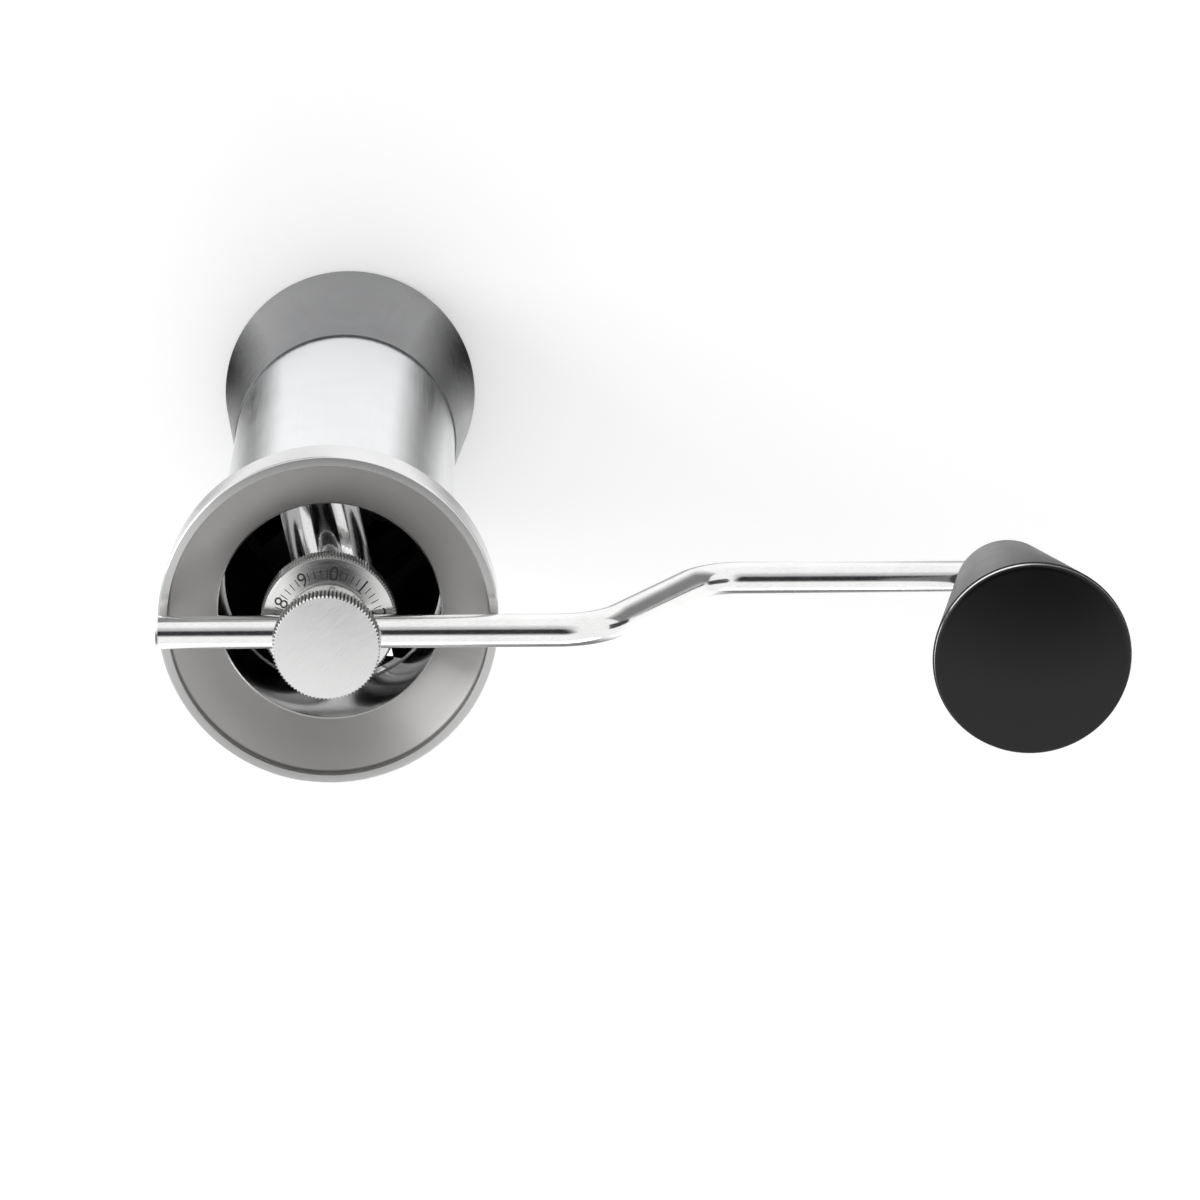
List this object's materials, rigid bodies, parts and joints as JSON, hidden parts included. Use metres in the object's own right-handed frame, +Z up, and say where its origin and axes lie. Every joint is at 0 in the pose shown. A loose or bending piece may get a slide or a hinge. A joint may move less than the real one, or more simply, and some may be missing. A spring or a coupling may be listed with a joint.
{
  "type": "hand crank coffee grinder",
  "caption": "Upright hand crank coffee grinder with a steel tube body, funnel hopper, offset crank bar with tapered knob, numbered dial and magnetic catch cup.",
  "frame": {"origin": "centre of the underside of the catch cup, which the grinder stands on", "axes": "+Z up along the grinding axis towards the crank, +X along the crank towards the knob"},
  "size_m": [0.2305, 0.082, 0.2666],
  "materials": {
    "tube_steel": "brushed round the tube",
    "rim_steel": "fine turned",
    "funnel_satin": "bead blasted satin",
    "bridge_polished": "polished",
    "bearing_steel": "ground",
    "spring_steel": "oiled spring steel",
    "burr_steel": "hardened and blackened",
    "rubber_black": "matte",
    "magnet_nickel": "nickel plated",
    "click_steel": "turned",
    "dial_ink": "filled engraving",
    "dial_steel": "turned, with a knurled edge",
    "shaft_steel": "ground",
    "bar_steel": "satin brushed",
    "screw_steel": "satin",
    "thumb_steel": "brushed face, knurled edge",
    "knob_black": "black anodised satin",
    "knob_cap_black": "smooth satin",
    "knob_trim": "bright bevel",
    "bush_bronze": "sintered bronze",
    "cup_dark": "dark grey anodised satin"
  },
  "bodies": {
    "body": {"body_tube": "tube_steel", "rim_ring": "rim_steel", "funnel_insert": "funnel_satin", "upper_bridge": "bridge_polished", "bridge_ring": "bridge_polished", "upper_outer_race": "bearing_steel", "upper_circlip": "spring_steel", "lower_bridge": "burr_steel", "lower_outer_race": "bearing_steel", "lower_circlip": "spring_steel", "outer_burr": "burr_steel", "burr_clamp_ring": "rim_steel", "cup_collar": "rim_steel", "collar_oring": "rubber_black", "collar_magnets": "magnet_nickel"},
    "rotor": {"upper_inner_race": "bearing_steel", "upper_balls": "bearing_steel", "lower_inner_race": "bearing_steel", "lower_balls": "bearing_steel", "click_plate": "click_steel"},
    "dial": {"adjust_dial": "dial_steel", "detent_balls": "bearing_steel", "detent_springs": "spring_steel"},
    "spindle": {"shaft": "shaft_steel", "drive_hub": "dial_steel", "crank_bar": "bar_steel", "cone_burr": "burr_steel", "burr_pin": "shaft_steel", "burr_screw": "screw_steel", "burr_washer": "screw_steel", "preload_spring": "spring_steel", "knob_axle": "screw_steel", "knob_spacer": "bar_steel"},
    "clamp": {"clamp_washer": "screw_steel"},
    "thumb": {"thumb_screw": "thumb_steel"},
    "knob": {"knob_shell": "knob_black", "knob_cap": "knob_cap_black", "knob_trim_ring": "knob_trim", "knob_bush_lower": "bush_bronze", "knob_bush_upper": "bush_bronze", "knob_washer": "screw_steel"},
    "cup": {"cup_shell": "cup_dark", "cup_steel_ring": "magnet_nickel", "cup_base_pad": "rubber_black"}
  },
  "joints": [
    {"name": "crank_spin", "type": "hinge", "parent": "body", "child": "rotor", "pos_m": [0, 0, 0.216], "axis": [0, 0, 1], "continuous": true},
    {"name": "dial_turn", "type": "hinge", "parent": "rotor", "child": "dial", "pos_m": [0, 0, 0.228], "axis": [0, 0, 1], "range_deg": [-361, 1081]},
    {"name": "burr_lift", "type": "slide", "parent": "rotor", "child": "spindle", "axis": [0, 0, -1], "range_m": [-0.0005, 0.0015], "deforming": ["preload_spring"]},
    {"name": "clamp_lift", "type": "slide", "parent": "spindle", "child": "clamp", "axis": [0, 0, 1], "range_m": [0, 0.008]},
    {"name": "thumb_turn", "type": "hinge", "parent": "clamp", "child": "thumb", "pos_m": [0, 0, 0.25], "axis": [0, 0, 1], "range_deg": [0, 3600]},
    {"name": "knob_spin", "type": "hinge", "parent": "spindle", "child": "knob", "pos_m": [0.166, 0, 0.23], "axis": [0, 0, 1], "continuous": true},
    {"name": "cup_pull", "type": "slide", "parent": "body", "child": "cup", "axis": [0, 0, -1], "range_m": [0, 0.055]}
  ],
  "couplings": [
    {"joint": "dial_turn", "follows": "burr_lift", "rad_per_m": 12566},
    {"joint": "clamp_lift", "follows": "thumb_turn", "m_per_rad": 0.00012732}
  ]
}
